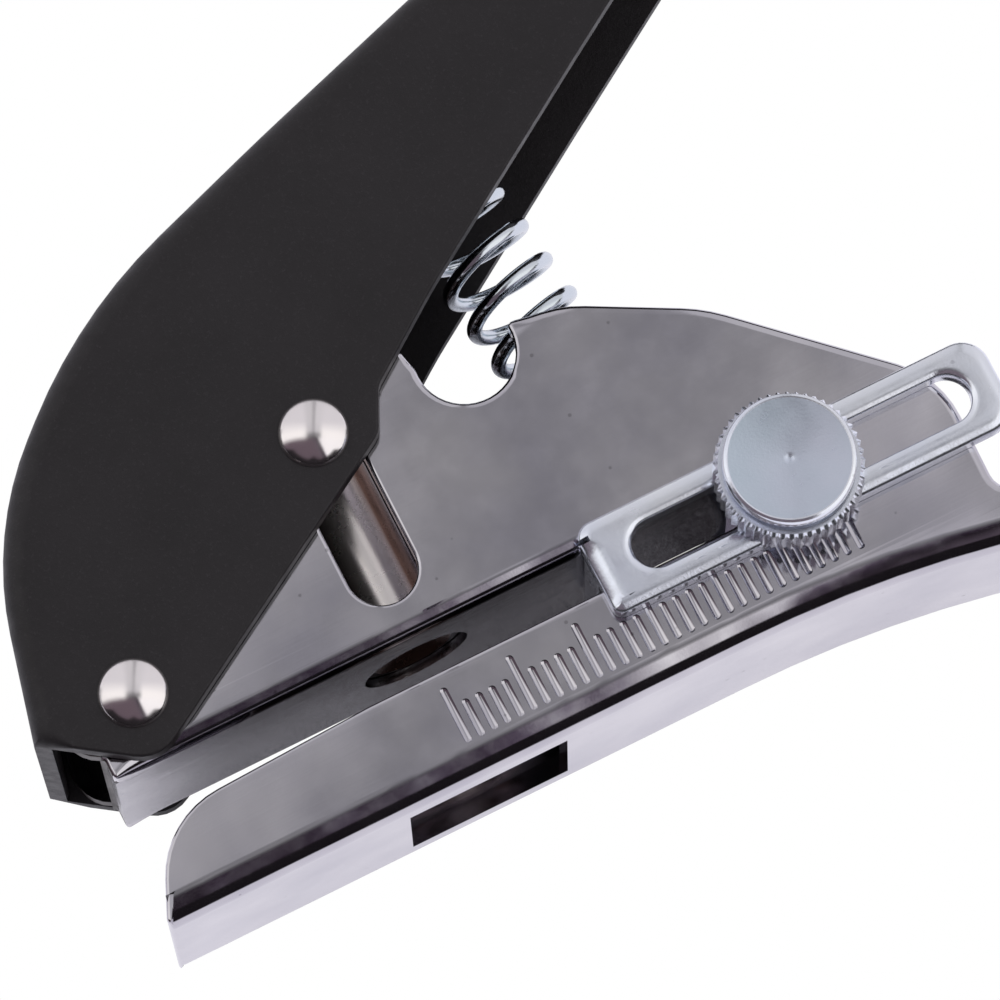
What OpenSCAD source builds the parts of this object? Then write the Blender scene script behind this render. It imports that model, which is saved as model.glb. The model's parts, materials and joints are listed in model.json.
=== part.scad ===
// Single-die hole punch plier with a sliding edge stop.
//
// Frame: X runs along the jaws from nose to handle, Y from the lower jaw to the lever,
// Z across the tool. The origin is on the punch axis, on the anvil surface, midway
// between the side plates. The tool lies on its far side, with the thumb screw up.
// Outlines are lists of [x, y, corner radius].

/* [Body shell] */
// Width over the two side plates
body_w = 17; // [14:0.5:22]
// Sheet thickness of the body
body_t = 1.5; // [1:0.1:2]
// Height of the throat that takes the strip
throat_gap = 3.2; // [2:0.1:4.5]
// Throat depth behind the punch axis
throat_depth = 24.4; // [20:0.2:25]
// Front end of the upper jaw ahead of the punch axis
jaw_front = 22.7; // [20.7:0.1:23.2]
// Front end of the lower jaw ahead of the punch axis
nose_front = 24; // [20:0.1:28]
// Height of the lower jaw, from its floor to the anvil surface
lower_jaw_h = 7.55; // [6.4:0.05:10]
// Length of the lower handle behind the punch axis
handle_reach = 120; // [105:1:140]
// Slope of the lower handle, in degrees
handle_slope = 16; // [10:1:20]
// Radius of the bend where the lower handle leaves the jaw
handle_bend_r = 95; // [60:1:110]
// Length of the slug window in the lower jaw's floor
window_l = 12; // [8:0.5:14]
// Width of the slug window
window_w = 10; // [7:0.5:10]

/* [Lever] */
// Sheet thickness of the lever
lever_t = 1.4; // [1:0.1:1.6]
// Gap between each side plate and the lever
lever_side_gap = 0.2; // [0.1:0.05:0.4]
// Length of the lever grip behind the punch axis
lever_reach = 117; // [105:1:140]

/* [Linkage] */
// Height of the drive rivet over the anvil with the lever open
drive_h = 18.5; // [18:0.1:19.5]
// Distance of the pivot rivet ahead of the punch axis
pivot_x = 19; // [18.6:0.1:19.4]
// Height of the pivot rivet over the anvil
pivot_h = 7.7; // [7.5:0.1:8.2]
// Travel of the punch
stroke = 8; // [5:0.5:8]
// Shank diameter of both rivets
rivet_d = 3; // [2.5:0.1:3.2]
// Head diameter of both rivets
rivet_head_d = 4.9; // [4.5:0.1:6]
// Height of the domed rivet heads
rivet_head_h = 1.2; // [0.8:0.1:1.6]
// Radial clearance of the pivot rivet in its long hole
pivot_float = 0.25; // [0.2:0.05:0.3]
// Width of the side slots for the drive rivet
slot_w = 5; // [4.6:0.1:5.6]

/* [Punch and die] */
// Diameter of the punch rod
punch_d = 6; // [5:0.1:6.6]
// Radial running clearance of the punch rod
punch_clear = 0.05; // [0.03:0.01:0.1]
// Height of the punch rod's tip above the upper jaw's underside, at rest
tip_inset = 0.5; // [0.2:0.1:0.8]
// Depth of the hollow in the punch rod's tip
tip_hollow = 0.8; // [0.3:0.1:1.2]
// Punch hole in the upper jaw's floor
jaw_hole_d = 7.9; // [7.4:0.1:8.6]
// Outer diameter of the punch guide's flange
guide_d = 11; // [9.5:0.5:11]
// Radial clearance between punch and die
die_clear = 0.06; // [0.03:0.01:0.1]
// Outer diameter of the die bush
die_d = 10; // [9.4:0.1:12]
// Thickness of the anvil bar
anvil_t = 3; // [2:0.1:4]

/* [Edge stop] */
// Width of the stop bracket
bracket_w = 6.8; // [6.2:0.1:7.2]
// Thickness of the stop bracket
bracket_t = 1.8; // [1.4:0.1:2]
// Left end of the bracket at rest
bracket_x = 12.7; // [12:0.1:14]
// Length of the stop bracket
bracket_l = 30.9; // [28.6:0.1:34]
// Width of the bracket's slot
bracket_slot_w = 3.5; // [3.1:0.05:3.8]
// Place of the thumb screw behind the punch axis
screw_x = 27.5; // [27.5:0.05:28.4]
// Diameter of the thumb screw's shank
screw_d = 3; // [2.5:0.1:3]
// Diameter of the knurled flange
knurl_d = 10.4; // [9.6:0.1:12]
// Height of the knurled flange
knurl_h = 3.5; // [2.5:0.1:5]
// Diameter of the thumb screw's top disc
knob_top_d = 9.1; // [8:0.1:9.4]

/* [Return spring] */
// Outer diameter of the spring
spring_d = 8.1; // [7:0.1:8.6]
// Wire diameter of the spring
spring_wire = 1.1; // [0.8:0.1:1.3]
// Number of turns
spring_turns = 13; // [9:1:14]
// Direction of the wire's lower end, in degrees
spring_start = 333; // [0:1:359]
// Foot of the spring behind the punch axis
spring_foot_x = 20.1; // [20:0.1:20.2]
// Lean of the spring towards the nose, in degrees
spring_lean = 8; // [8:0.1:9.5]

/* [Hidden] */
$fn = 64;

eps = 0.01;
far = 400;
half_w = body_w / 2;
inner_w = body_w - 2 * body_t;
jaw_y = throat_gap;
jaw_floor_t = 1.2;
jaw_floor_y = jaw_y + jaw_floor_t;
floor_y = -lower_jaw_h;

// Linkage: the pivot rivet moves forward as the drive rivet comes straight down.
link_l = norm([pivot_x, drive_h - pivot_h]);
pivot_x_shut = sqrt(link_l * link_l - pow(drive_h - stroke - pivot_h, 2));
ear_wall = 1.1;
ear_r = rivet_d / 2 + pivot_float + ear_wall;
slot_top = drive_h + rivet_d / 2 + 0.1;
slot_bottom = jaw_y + 2.5;

// Outer planes from the middle outwards
lever_in = half_w + lever_side_gap;
lever_out = lever_in + lever_t;
bracket_z = half_w + 0.03;
bracket_top = bracket_z + bracket_t;
stop_y = 1.05;

// Outline helpers -------------------------------------------------------------

function unit(v) = v / norm(v);
function xy(p) = [p[0], p[1]];
function wrapped(a) = a > 180 ? a - 360 : a < -180 ? a + 360 : a;

// Points of a corner of radius r at b, between the neighbours a and c
function corner(a, b, c, r) =
    let (u = unit(a - b), v = unit(c - b), half = acos(min(1, max(-1, u * v))) / 2)
    (r <= 0 || half > 89.5) ? [b] :
    let (
        centre = b + unit(u + v) * r / sin(half),
        from = b + u * r / tan(half) - centre,
        to = b + v * r / tan(half) - centre,
        start = atan2(from[1], from[0]),
        sweep = wrapped(atan2(to[1], to[0]) - start),
        steps = max(2, ceil(abs(sweep) / (2 * acos(1 - min(0.5, 0.02 / r)))))
    )
    [for (k = [0:steps]) centre + r * [cos(start + sweep * k / steps), sin(start + sweep * k / steps)]];

// A closed outline from a list of [x, y, radius]
function rounded(v) =
    [for (i = [0:len(v) - 1])
        each corner(xy(v[(i + len(v) - 1) % len(v)]), xy(v[i]), xy(v[(i + 1) % len(v)]), v[i][2])];

// The same for an open line, which keeps its two ends
function rounded_line(v) =
    [for (i = [0:len(v) - 1])
        each (i == 0 || i == len(v) - 1) ? [xy(v[i])]
            : corner(xy(v[i - 1]), xy(v[i]), xy(v[i + 1]), v[i][2])];

// A line moved sideways by d, to the right of its direction
function shifted(p, d) =
    [for (i = [0:len(p) - 1])
        let (t = unit(p[min(i + 1, len(p) - 1)] - p[max(i - 1, 0)]))
        p[i] + d * [t[1], -t[0]]];

module slab(points, width) {
    translate([0, 0, -width / 2]) linear_extrude(width) polygon(points);
}

// A long hole along the line from a to b, of width w, through the whole tool
module long_hole(a, b, w, depth = 60) {
    angle = atan2(b[1] - a[1], b[0] - a[0]);
    translate([a[0], a[1], -depth / 2]) {
        cylinder(h = depth, d = w);
        rotate(angle) translate([0, -w / 2, 0]) cube([norm(b - a), w, depth]);
    }
    translate([b[0], b[1], -depth / 2]) cylinder(h = depth, d = w);
}

// A cylinder along Y from y0 to y1
module upright(d, y0, y1) {
    translate([0, y0, 0]) rotate([-90, 0, 0]) cylinder(h = y1 - y0, d = d);
}

// Body shell ------------------------------------------------------------------

bend_run = handle_bend_r * tan(handle_slope / 2);
flat_end = 20;
bend_x = flat_end + bend_run;
function handle_y(x) = floor_y - (x - bend_x) * tan(handle_slope);
tail_x = handle_reach - 25;
tail_y = handle_y(tail_x);
tail_slope = 6;
tip_y = tail_y - (handle_reach - tail_x) * tan(tail_slope);
handle_h = 9;
// How far the nose leans back from its lower corner
nose_lean = 3.05;

// Underside, from the nose to the end of the handle
body_underside = [
    [-nose_front, floor_y, 0.4], [bend_x, floor_y, handle_bend_r], [tail_x, tail_y, 60],
    [handle_reach, tip_y, 4]
];
// Upper edge, from the end of the handle to the nose
body_upper_edge = [
    [handle_reach + 1, tip_y + handle_h, 4],
    [tail_x - 2, handle_y(tail_x - 2) + handle_h, 60],
    [58, handle_y(58) + 7.6, 40],
    [40.2, -6, 1.5],
    // hump
    [40.4, 3.2, 7], [28.1, 14.8, 12], [19.5, 19.4, 9], [15.5, 20, 0.6],
    // pocket, which a round cut finishes
    [15.2, 18.9, 0], [8.6, 18.9, 0], [8, 21.3, 0.3],
    // top and front, behind the lever
    [3.5, 24.5, 2], [-4, 24.5, 3], [-pivot_x - 3, pivot_h + ear_r + 0.9, 2],
    [-pivot_x_shut - ear_r, pivot_h + ear_r, ear_r - 0.05],
    [-pivot_x_shut - ear_r, pivot_h - ear_r, ear_r - 0.05],
    [-jaw_front, pivot_h - ear_r, 0.3], [-jaw_front, jaw_y, 0.3],
    // throat and nose
    [throat_depth, jaw_y, throat_gap / 2 - 0.02], [throat_depth, 0, throat_gap / 2 - 0.02],
    [-5, 0, 8], [-nose_front + nose_lean, -0.65, min(6.8, lower_jaw_h - 0.75)]
];
body_outline = rounded(concat(body_underside, body_upper_edge));
pocket_at = [11.9, 19.3];
pocket_r = 3.55;

// Hollow of the channel: everything above its floor and inside the handle's end
channel_line = shifted(
    rounded_line([
        [-far, floor_y, 0], [bend_x, floor_y, handle_bend_r], [tail_x, tail_y, 60],
        [handle_reach, tip_y, 4], [handle_reach + 1, tip_y + handle_h, 0], [handle_reach + 2, far, 0]
    ]),
    -body_t
);

module body_shell() {
    color("silver")
    difference() {
        slab(body_outline, body_w);
        slab(concat(channel_line, [[-far, far]]), inner_w);
        translate([pocket_at[0], pocket_at[1], -half_w - 1]) cylinder(h = body_w + 2, r = pocket_r);
        long_hole([0, slot_bottom + slot_w / 2], [0, slot_top - slot_w / 2], slot_w);
        long_hole([-pivot_x_shut, pivot_h], [-pivot_x, pivot_h], rivet_d + 2 * pivot_float);
        translate([0.3 - window_l / 2, floor_y - 1, -window_w / 2]) cube([window_l, body_t + 1.2, window_w]);
        translate([screw_x, stop_y, 0]) cylinder(h = half_w + 1, d = screw_d + 0.2);
    }
}

// Jaw fittings ----------------------------------------------------------------

// Shallow channel welded between the side plates, which closes the upper jaw underneath
end_gap = 0.3;
jaw_floor_h = min(slot_bottom - 0.1, pivot_h - rivet_d / 2 - pivot_float - 0.1) - jaw_y;

module jaw_floor() {
    color("silver")
    difference() {
        translate([-jaw_front, jaw_y, -inner_w / 2])
            cube([jaw_front + throat_depth - end_gap, jaw_floor_h, inner_w]);
        translate([-jaw_front - 1, jaw_floor_y, jaw_floor_t - inner_w / 2])
            cube([jaw_front + throat_depth + 2, jaw_floor_h, inner_w - 2 * jaw_floor_t]);
        upright(jaw_hole_d, jaw_y - 1, jaw_floor_y + 1);
    }
}

anvil_front = 12;
anvil_back = throat_depth - end_gap;

module anvil_bar() {
    color("dimgray")
    difference() {
        slab(rounded([
            [-anvil_front, -anvil_t, 0.3], [anvil_back, -anvil_t, 0.3], [anvil_back, 0, 0.3],
            [-anvil_front + 6, 0, 3], [-anvil_front, -1.4, 0.5]
        ]), inner_w);
        upright(die_d, -anvil_t - 1, 1);
    }
}

module die_bush() {
    color("slategray")
    difference() {
        upright(die_d, -anvil_t - 0.6, 0);
        upright(punch_d + 2 * die_clear, -anvil_t - 1, 1);
    }
}

guide_top = jaw_floor_y + 1.5;

module punch_guide() {
    color("gray")
    difference() {
        union() {
            upright(guide_d, jaw_floor_y, guide_top);
            upright(jaw_hole_d, jaw_y + 0.7, jaw_floor_y + eps);
        }
        upright(punch_d + 2 * punch_clear, jaw_y, guide_top + 1);
    }
}

bridge_y = slot_top + 0.6;
bridge_t = 2.4;
bridge_l = 12;

module guide_bridge() {
    color("gray")
    difference() {
        translate([-bridge_l / 2, bridge_y, -inner_w / 2]) cube([bridge_l, bridge_t, inner_w]);
        upright(punch_d + 2 * punch_clear, bridge_y - 1, bridge_y + bridge_t + 1);
    }
}

nut_d = 5.2;
nut_h = 3.4;

module clinch_nut() {
    color("silver")
    translate([screw_x, stop_y, inner_w / 2 - nut_h])
    difference() {
        cylinder(h = nut_h, d = nut_d);
        translate([0, 0, -1]) cylinder(h = nut_h + 2, d = screw_d + 0.06);
    }
}

// Punch -----------------------------------------------------------------------

punch_top = bridge_y + bridge_t + 0.1;

module punch_rod() {
    color("lightgray")
    difference() {
        upright(punch_d, jaw_y + tip_inset, punch_top);
        // hollow tip, which leaves a cutting rim
        translate([0, jaw_y + tip_inset - eps, 0]) rotate([-90, 0, 0])
            cylinder(h = tip_hollow, d1 = punch_d - 0.3, d2 = punch_d - 3);
        translate([0, drive_h, -punch_d]) cylinder(h = 2 * punch_d, d = rivet_d + 0.1);
    }
}

// Lever -----------------------------------------------------------------------

// Back of the lever, from its front foot to the tip of the grip
grip_slope = 16.2;
grip_x = 86;
grip_y = 67.2;
lever_tip = [lever_reach, grip_y + (lever_reach - grip_x) * tan(grip_slope)];
// The foot clears the body's ear with the pivot rivet at the front of its long hole
foot_x = pivot_x_shut + ear_r + lever_t + 0.675;
lever_back = [
    [-foot_x, 7.65, 0], [3.7 - foot_x, 22.4, 24], [-10.7, 33.6, 38], [6, 39.3, 200], [24, 45, 200],
    [grip_x, grip_y, 150], [lever_tip[0], lever_tip[1], 5]
];
lever_end = [lever_tip[0] + 3.6, lever_tip[1] - 11.6, 5];
// Open edge, from the tip of the grip to the front foot
lever_edge = [
    [grip_x, grip_y - 11, 150], [44, 44.4, 25], [28, 34.4, 60], [12, 24.2, 40], [5.45, 19.5, 1.5],
    [4, 16.5, 1.5], [-19.43, 2.7, 2.8]
];
lever_outline = rounded(concat(lever_back, [lever_end], lever_edge));

// Hollow of the channel, open along the lever's edge
lever_inner_line = shifted(
    rounded_line(concat(
        [[-foot_x - 1.7, -2.2, 0]], lever_back, [lever_end, [lever_end[0] - 20, lever_end[1] - 20, 0]]
    )),
    lever_t
);

module lever_channel() {
    color([0.12, 0.12, 0.12])
    difference() {
        slab(lever_outline, 2 * lever_out);
        slab(lever_inner_line, 2 * lever_in);
        for (at = [[0, drive_h], [-pivot_x, pivot_h]])
            translate([at[0], at[1], -20]) cylinder(h = 40, d = rivet_d);
    }
}

// A rivet across the tool, with a domed head on each lever plate
module rivet(at) {
    dome_r = (pow(rivet_head_d / 2, 2) + pow(rivet_head_h, 2)) / (2 * rivet_head_h);
    translate([at[0], at[1], 0]) {
        cylinder(h = 2 * lever_out, d = rivet_d, center = true);
        for (side = [0, 1])
            mirror([0, 0, side]) translate([0, 0, lever_out])
                intersection() {
                    translate([0, 0, rivet_head_h - dome_r]) sphere(r = dome_r);
                    cylinder(h = rivet_head_h + 1, d = rivet_head_d + 1);
                }
    }
}

module drive_rivet() {
    color("gainsboro") rivet([0, drive_h]);
}

module pivot_rivet() {
    color("gainsboro") rivet([-pivot_x, pivot_h]);
}

// Edge stop -------------------------------------------------------------------

tab_w = throat_gap - 0.6;
tab_reach = body_w - 2.2;

// Radius of the bend between the plate and the tab
bend_r = 1.2;
slot_margin = [3, 2.2];

module stop_bracket() {
    slot_r = bracket_slot_w / 2;
    right = bracket_x + bracket_l;
    low = stop_y - bracket_w / 2;
    high = stop_y + bracket_w / 2;
    color("gainsboro")
    difference() {
        union() {
            translate([0, 0, bracket_z]) linear_extrude(bracket_t)
                polygon(rounded([
                    [bracket_x, low, 0.8], [right, low, 2], [right, high, 2], [bracket_x, high, 1.2]
                ]));
            translate([bracket_x, throat_gap / 2 - tab_w / 2, bracket_top - eps - tab_reach])
                cube([bracket_t, tab_w, tab_reach]);
        }
        long_hole(
            [bracket_x + slot_margin[0] + slot_r, stop_y],
            [right - slot_margin[1] - slot_r, stop_y],
            bracket_slot_w
        );
        difference() {
            translate([bracket_x - 1, -far / 2, bracket_top - bend_r]) cube([bend_r + 1, far, bend_r + 1]);
            translate([bracket_x + bend_r, -far / 2, bracket_top - bend_r]) rotate([-90, 0, 0])
                cylinder(h = far, r = bend_r);
        }
    }
}

knob_base = bracket_top + 0.05;
groove_h = 0.7;
disc_h = 1.2;
shank_end = inner_w / 2 - nut_h - 0.8;

module thumb_screw() {
    color("lightsteelblue")
    translate([screw_x, stop_y, 0]) {
        translate([0, 0, shank_end]) cylinder(h = knob_base - shank_end + 1, d = screw_d);
        translate([0, 0, knob_base]) cylinder(h = knurl_h, d = knurl_d);
        translate([0, 0, knob_base + knurl_h - eps]) cylinder(h = groove_h + 2 * eps, d = knob_top_d - 0.8);
        translate([0, 0, knob_base + knurl_h + groove_h]) cylinder(h = disc_h, d = knob_top_d);
    }
}

// Return spring ---------------------------------------------------------------

peg_h = 3;
peg_d = spring_d - 2 * spring_wire - 0.8;
spring_foot = [spring_foot_x, jaw_floor_y];
spring_axis = [-sin(spring_lean), cos(spring_lean)];
// Where the spring's axis meets the inside of the lever's back
back_slope = atan2(lever_back[4][1] - lever_back[3][1], lever_back[4][0] - lever_back[3][0]);
back_normal = [-sin(back_slope), cos(back_slope)];
back_reach = ((xy(lever_back[3]) - spring_foot) * back_normal - lever_t) / (spring_axis * back_normal);
spring_l = back_reach - 0.5;

module lower_spring_peg() {
    color("gray")
    translate([spring_foot[0], spring_foot[1], 0]) rotate([-90, 0, 0]) cylinder(h = peg_h, d = peg_d);
}

module upper_spring_peg() {
    peg_at = spring_foot + back_reach * spring_axis;
    color("gray")
    translate([peg_at[0], peg_at[1], 0])
        rotate([90, 0, back_slope]) cylinder(h = peg_h, d = peg_d);
}

coil_sides = 8;
coil_steps = 14;
ring_count = spring_turns * coil_steps;
coil_r = (spring_d - spring_wire) / 2;
// Height along the spring, with one closed turn at each end
function coil_rise(turn) =
    let (closed = spring_wire * 1.05, open = (spring_l - spring_wire - 2 * closed) / (spring_turns - 2))
    turn < 1 ? closed * turn
        : turn > spring_turns - 1 ? spring_l - spring_wire - closed * (spring_turns - turn)
        : closed + open * (turn - 1);
coil_points = [
    for (i = [0:ring_count], k = [0:coil_sides - 1])
        let (
            turn = i / coil_steps,
            around = spring_start + 360 * turn,
            tube = 360 * k / coil_sides,
            reach = coil_r + spring_wire / 2 * cos(tube)
        )
        [reach * cos(around), reach * sin(around),
            spring_wire / 2 + coil_rise(turn) + spring_wire / 2 * sin(tube)]
];
coil_faces = concat(
    [[for (k = [0:coil_sides - 1]) k]],
    [for (i = [0:ring_count - 1], k = [0:coil_sides - 1])
        let (a = i * coil_sides, b = a + coil_sides, n = (k + 1) % coil_sides)
        [a + k, b + k, b + n, a + n]],
    [[for (k = [coil_sides - 1:-1:0]) ring_count * coil_sides + k]]
);

module return_spring() {
    color("lightblue")
    translate([spring_foot[0], spring_foot[1] + 0.35, 0])
        rotate([0, 0, spring_lean]) rotate([-90, 0, 0]) polyhedron(coil_points, coil_faces, convexity = 10);
}

body_shell();
jaw_floor();
anvil_bar();
die_bush();
punch_guide();
guide_bridge();
clinch_nut();
lower_spring_peg();
punch_rod();
lever_channel();
drive_rivet();
pivot_rivet();
upper_spring_peg();
return_spring();
stop_bracket();
thumb_screw();
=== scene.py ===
"""Looks of the single-die hole punch plier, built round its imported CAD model."""

import json
import math

import bmesh
import bpy
from mathutils import Matrix, Vector
from mathutils.geometry import tessellate_polygon


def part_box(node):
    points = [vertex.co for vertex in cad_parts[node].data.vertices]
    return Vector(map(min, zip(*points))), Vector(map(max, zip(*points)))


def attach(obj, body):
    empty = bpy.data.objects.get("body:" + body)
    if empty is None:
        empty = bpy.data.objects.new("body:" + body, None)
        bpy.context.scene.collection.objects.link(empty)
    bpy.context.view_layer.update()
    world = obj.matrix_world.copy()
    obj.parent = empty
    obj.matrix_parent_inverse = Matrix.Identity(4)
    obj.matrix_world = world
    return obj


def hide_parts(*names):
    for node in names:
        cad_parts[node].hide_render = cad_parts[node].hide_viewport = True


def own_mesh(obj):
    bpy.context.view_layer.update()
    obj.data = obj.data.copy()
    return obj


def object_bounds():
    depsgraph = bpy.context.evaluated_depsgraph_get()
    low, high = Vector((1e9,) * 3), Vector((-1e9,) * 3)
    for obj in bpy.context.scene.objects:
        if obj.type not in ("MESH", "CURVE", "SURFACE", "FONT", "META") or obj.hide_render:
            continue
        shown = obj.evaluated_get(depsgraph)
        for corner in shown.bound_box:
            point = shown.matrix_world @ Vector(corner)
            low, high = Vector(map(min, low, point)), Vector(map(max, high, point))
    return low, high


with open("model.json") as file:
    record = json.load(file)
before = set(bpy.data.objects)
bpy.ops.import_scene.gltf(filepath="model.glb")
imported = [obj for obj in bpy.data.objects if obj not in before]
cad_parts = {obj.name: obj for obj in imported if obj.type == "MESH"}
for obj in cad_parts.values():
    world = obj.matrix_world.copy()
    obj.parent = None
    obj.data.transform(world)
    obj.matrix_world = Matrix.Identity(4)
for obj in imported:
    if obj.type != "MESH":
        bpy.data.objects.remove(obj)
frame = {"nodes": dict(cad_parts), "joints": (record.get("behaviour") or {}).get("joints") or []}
cad_low, cad_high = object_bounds()

MM = 0.001
TAU = 2 * math.pi


# Places worked out from the frame ---------------------------------------------

def joint_named(name):
    return next(j for j in frame["joints"] if j["name"] == name)


body_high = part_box("body_shell")[1]
lever_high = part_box("lever_channel")[1]
jaw_low, jaw_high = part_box("jaw_floor")
bracket_low, bracket_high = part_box("stop_bracket")
screw_low, screw_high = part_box("thumb_screw")
rod_low, rod_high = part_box("punch_rod")
screw_at = Vector(joint_named("screw_turn")["pos_m"])
drive_at = Vector(joint_named("lever_swing")["pos_m"])
floor_z = cad_low.z


# Camera -------------------------------------------------------------------------

CAMERA_AT = Vector((-0.04618, -0.11542, 0.56703))
CAMERA_RIGHT = Vector((0.8938, -0.4483, -0.0115))
CAMERA_UP = Vector((0.4380, 0.8673, 0.2364))
# Small turn of the optical axis towards the middle of the picture, along right and along up
AXIS_TURN = (0.0007, 0.0002)
SENSOR = 36.0
LENS = 302.6


def add_camera():
    data = bpy.data.cameras.new("camera")
    data.sensor_width = SENSOR
    data.lens = LENS
    data.clip_start = 0.01
    data.clip_end = 20
    camera = bpy.data.objects.new("camera", data)
    bpy.context.scene.collection.objects.link(camera)
    right = CAMERA_RIGHT.normalized()
    back = right.cross(CAMERA_UP).normalized()
    back = (back - right * AXIS_TURN[0] - CAMERA_UP * AXIS_TURN[1]).normalized()
    right = CAMERA_UP.cross(back).normalized()
    up = back.cross(right)
    turn = Matrix((right, up, back)).transposed().to_4x4()
    camera.matrix_world = Matrix.Translation(CAMERA_AT) @ turn
    bpy.context.scene.camera = camera


add_camera()


# Material helpers ---------------------------------------------------------------

class Nodes:
    """A small wrapper that adds nodes and links them by socket name."""

    def __init__(self, tree):
        self.tree = tree
        tree.nodes.clear()

    def add(self, kind, settings=None, **inputs):
        node = self.tree.nodes.new(kind)
        for key, value in (settings or {}).items():
            setattr(node, key, value)
        for key, value in inputs.items():
            self.put(node, key.replace("_", " "), value)
        return node

    def put(self, node, key, value):
        socket = node.inputs[int(key)] if key.isdigit() else node.inputs[key]
        if isinstance(value, bpy.types.NodeSocket):
            self.tree.links.new(value, socket)
        else:
            socket.default_value = value

    def coords(self, scale=(1, 1, 1), turn=(0, 0, 0)):
        """Object coordinates in millimetres, stretched by scale."""
        source = self.add("ShaderNodeTexCoord").outputs["Object"]
        mapping = self.add("ShaderNodeMapping", Vector=source)
        mapping.inputs["Scale"].default_value = [s / MM for s in scale]
        mapping.inputs["Rotation"].default_value = turn
        return mapping.outputs["Vector"]

    def noise(self, vector, scale, detail=3.0, rough=0.5):
        node = self.add("ShaderNodeTexNoise", Vector=vector, Scale=scale, Detail=detail,
                        Roughness=rough)
        return node.outputs["Fac"]

    def ramp(self, value, stops):
        """A colour ramp from a list of (position, grey or colour)."""
        node = self.add("ShaderNodeValToRGB", Fac=value)
        ramp = node.color_ramp
        for i, (at, colour) in enumerate(stops):
            stop = ramp.elements[i] if i < 2 else ramp.elements.new(at)
            stop.position = at
            stop.color = (*colour, 1) if isinstance(colour, tuple) else (colour, colour, colour, 1)
        return node.outputs["Color"]

    def remap(self, value, low, high, start=0.3, end=0.7):
        """value turned from start..end into low..high, and held at those ends."""
        node = self.add("ShaderNodeMapRange", Value=value)
        node.inputs["From Min"].default_value = start
        node.inputs["From Max"].default_value = end
        node.inputs["To Min"].default_value = low
        node.inputs["To Max"].default_value = high
        return node.outputs["Result"]

    def mix(self, factor, a, b):
        node = self.add("ShaderNodeMix", {"data_type": "RGBA"})
        self.put(node, "0", factor)
        for index, value in ((6, a), (7, b)):
            value = (*value, 1) if isinstance(value, tuple) else value
            self.put(node, str(index), value)
        return node.outputs[2]

    def math(self, operation, a, b=0.0):
        node = self.add("ShaderNodeMath", {"operation": operation})
        self.put(node, "0", a)
        self.put(node, "1", b)
        return node.outputs[0]

    def bump(self, height, strength, distance_mm, normal=None):
        node = self.add("ShaderNodeBump", Height=height, Strength=strength, Distance=distance_mm * MM)
        if normal is not None:
            self.put(node, "Normal", normal)
        return node.outputs["Normal"]


def new_material(name):
    material = bpy.data.materials.new(name)
    material.use_nodes = True
    nodes = Nodes(material.node_tree)
    shader = nodes.add("ShaderNodeBsdfPrincipled")
    output = nodes.add("ShaderNodeOutputMaterial")
    nodes.put(output, "Surface", shader.outputs["BSDF"])
    return material, nodes, shader


PIT_COLOUR = (0.08, 0.07, 0.07)


def metal(name, colour, tint, rough, wave_mm=0.0, grain=0.0, speck=0.0, scratch=0.0,
          stretch=(1, 1, 1), rim=None, metallic=1.0):
    """A plated or polished metal with a slow drift from colour to tint and cloudy roughness.
    wave_mm is the height of its soft waves. grain, scratch and speck are the strengths of its fine
    grain, its scratches and its dark pits. rim is a painted shade: its colour where it turns away
    from the eye."""
    material, nodes, shader = new_material(name)
    nodes.put(shader, "Metallic", metallic)
    plain = nodes.coords()
    drift = nodes.noise(plain, 0.11, 3.0)
    cloud = nodes.noise(plain, 0.5, 4.0, 0.6)
    base = nodes.mix(nodes.remap(drift, 0.0, 1.0), colour, tint)
    if speck:
        pits = nodes.add("ShaderNodeTexVoronoi", {"feature": "F1"}, Vector=plain, Scale=0.42)
        mask = nodes.remap(pits.outputs["Distance"], 1.0, 0.0, 0.04, 0.075)
        base = nodes.mix(nodes.math("MULTIPLY", mask, speck), base, PIT_COLOUR)
    # painted shade: the base colour turns to rim where the surface turns away from the eye
    if rim:
        facing = nodes.add("ShaderNodeLayerWeight").outputs["Facing"]
        base = nodes.mix(nodes.remap(facing, 0.0, 1.0, 0.03, 0.30), base, rim)
    nodes.put(shader, "Base Color", base)
    nodes.put(shader, "Roughness", nodes.remap(cloud, rough[0], rough[1]))
    normal = None
    if wave_mm:
        normal = nodes.bump(nodes.noise(plain, 0.07, 1.5), 1.0, wave_mm, normal)
    if grain:
        normal = nodes.bump(nodes.noise(plain, 5.0, 3.0, 0.65), grain, 0.02, normal)
    if scratch:
        lines = nodes.noise(nodes.coords(stretch), 3.0, 3.0, 0.7)
        normal = nodes.bump(nodes.remap(lines, 0.0, 1.0, 0.45, 0.75), scratch, 0.02, normal)
    if normal is not None:
        nodes.put(shader, "Normal", normal)
    return material


def powder_coat(name):
    """Fine-grained black powder coat, a little worn and lighter where the grain stands up."""
    material, nodes, shader = new_material(name)
    plain = nodes.coords()
    fine = nodes.noise(plain, 4.2, 4.0, 0.7)
    coarse = nodes.noise(plain, 0.9, 3.0, 0.55)
    blotch = nodes.noise(plain, 0.12, 2.0)
    dark = nodes.mix(nodes.remap(blotch, 0.0, 1.0), (0.0118, 0.0092, 0.0114),
                     (0.0172, 0.0138, 0.0166))
    base = nodes.mix(nodes.remap(fine, 0.0, 0.5, 0.55, 0.8), dark, (0.050, 0.043, 0.050))
    nodes.put(shader, "Base Color", base)
    nodes.put(shader, "Roughness", nodes.remap(coarse, 0.42, 0.56))
    nodes.put(shader, "Specular IOR Level", 0.42)
    normal = nodes.bump(coarse, 0.35, 0.05)
    nodes.put(shader, "Normal", nodes.bump(fine, 0.55, 0.035, normal))
    return material


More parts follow.
